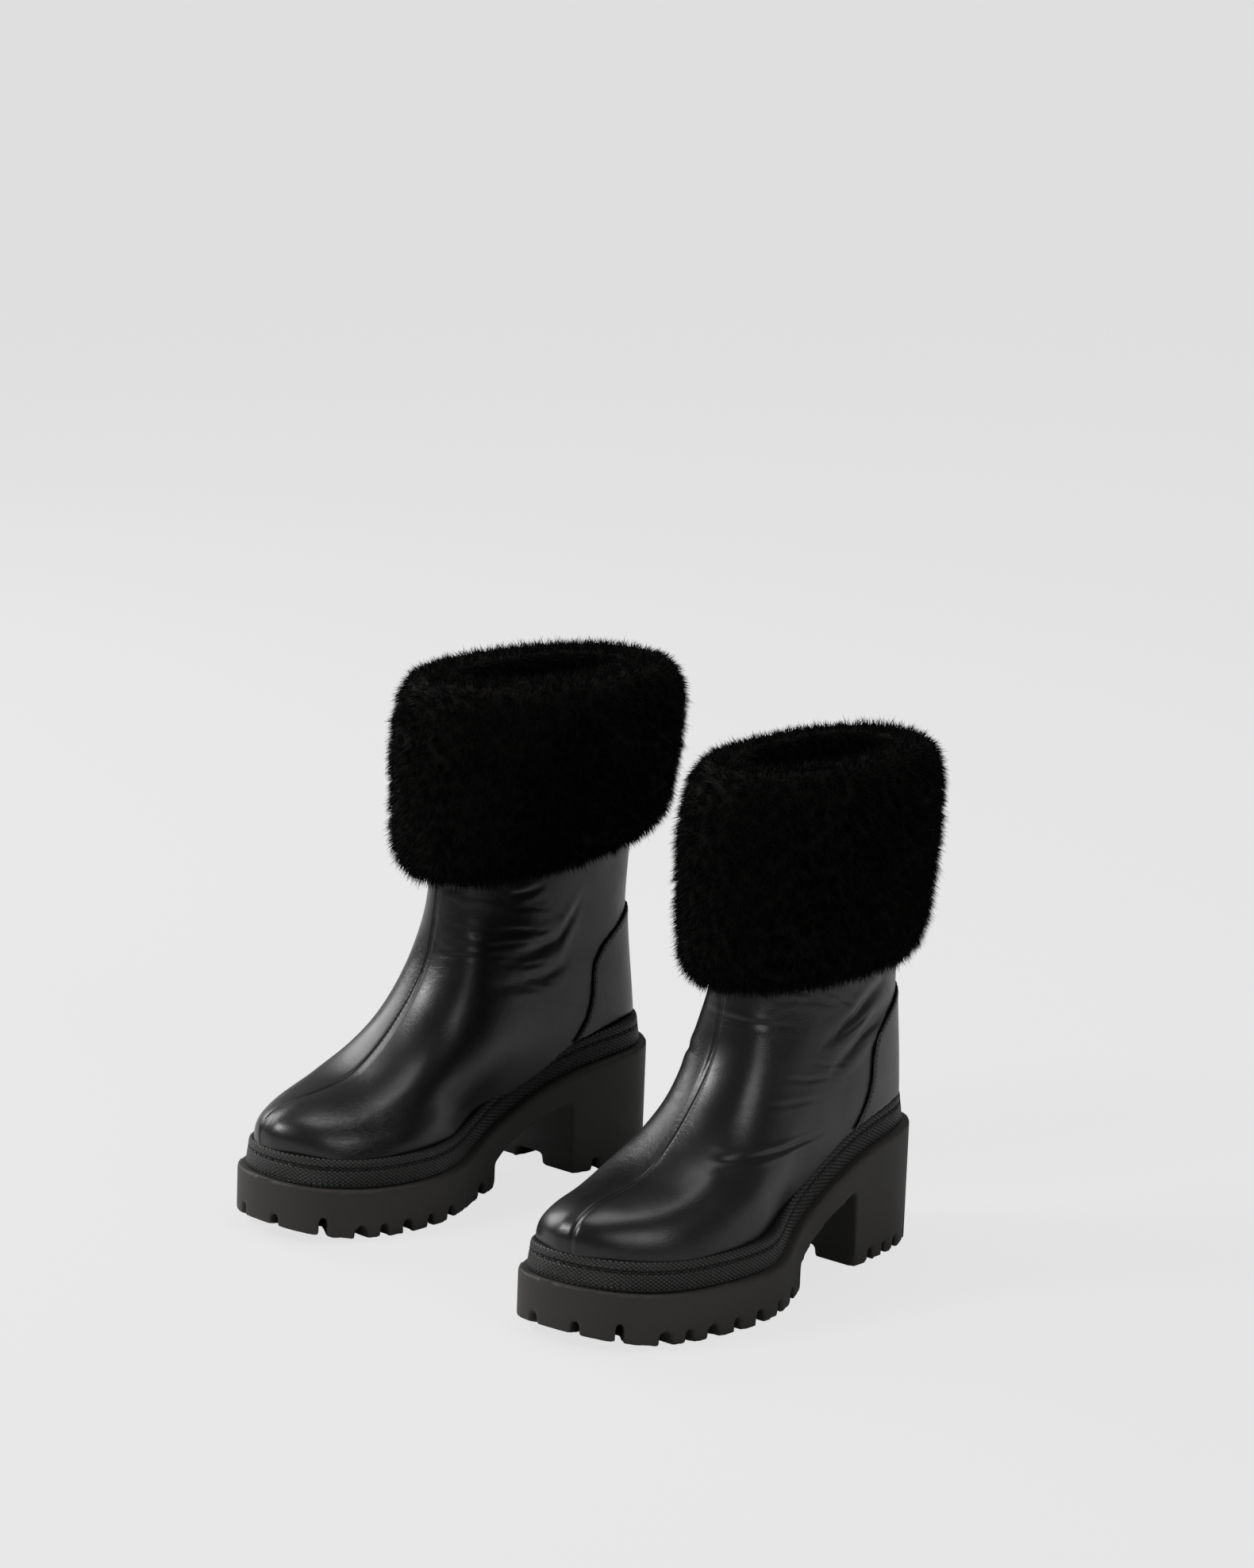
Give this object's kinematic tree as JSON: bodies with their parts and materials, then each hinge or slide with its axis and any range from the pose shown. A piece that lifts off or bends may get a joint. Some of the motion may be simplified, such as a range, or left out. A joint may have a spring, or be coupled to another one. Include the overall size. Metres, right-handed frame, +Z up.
{
  "type": "pull-on platform boots",
  "caption": "Black leather pull-on ankle boots with a lugged rubber platform sole, block heel, stitched knurled rand and turned-down fur cuffs.",
  "frame": {"origin": "on the ground under the middle of the pair's bounding box", "axes": "+Z up, toes toward -Y, the wearer's left boot at +X"},
  "size_m": [0.3176, 0.2978, 0.272],
  "materials": {
    "sole_rubber": "matt",
    "rand_rubber": "matt, knurled",
    "core_plastic": "moulded",
    "shank_steel": "plain",
    "filler_cork": "cork",
    "insole_fibre": "fibre board",
    "footbed_foam": "textile on foam",
    "pad_leather": "smooth",
    "upper_leather": "smooth with a soft sheen",
    "stiffener_board": "stiffened textile",
    "interlining_textile": "woven",
    "lining_textile": "knitted",
    "fur_hide": "hide",
    "fur": "dense fur"
  },
  "bodies": {
    "root": {"left_sole_unit": "sole_rubber", "left_rand_band": "rand_rubber", "left_heel_core": "core_plastic", "left_shank": "shank_steel", "left_bottom_filler": "filler_cork", "left_insole_board": "insole_fibre", "left_footbed": "footbed_foam", "left_heel_pad": "pad_leather", "left_lateral_panel": "upper_leather", "left_medial_panel": "upper_leather", "left_back_counter": "upper_leather", "left_toe_puff": "stiffener_board", "left_heel_stiffener": "stiffener_board", "left_interlining": "interlining_textile", "left_foot_lining": "lining_textile", "left_shaft_lining": "lining_textile", "left_cuff_skin": "fur_hide", "left_fur_cuff": "fur", "right_sole_unit": "sole_rubber", "right_rand_band": "rand_rubber", "right_heel_core": "core_plastic", "right_shank": "shank_steel", "right_bottom_filler": "filler_cork", "right_insole_board": "insole_fibre", "right_footbed": "footbed_foam", "right_heel_pad": "pad_leather", "right_lateral_panel": "upper_leather", "right_medial_panel": "upper_leather", "right_back_counter": "upper_leather", "right_toe_puff": "stiffener_board", "right_heel_stiffener": "stiffener_board", "right_interlining": "interlining_textile", "right_foot_lining": "lining_textile", "right_shaft_lining": "lining_textile", "right_cuff_skin": "fur_hide", "right_fur_cuff": "fur"}
  },
  "joints": []
}
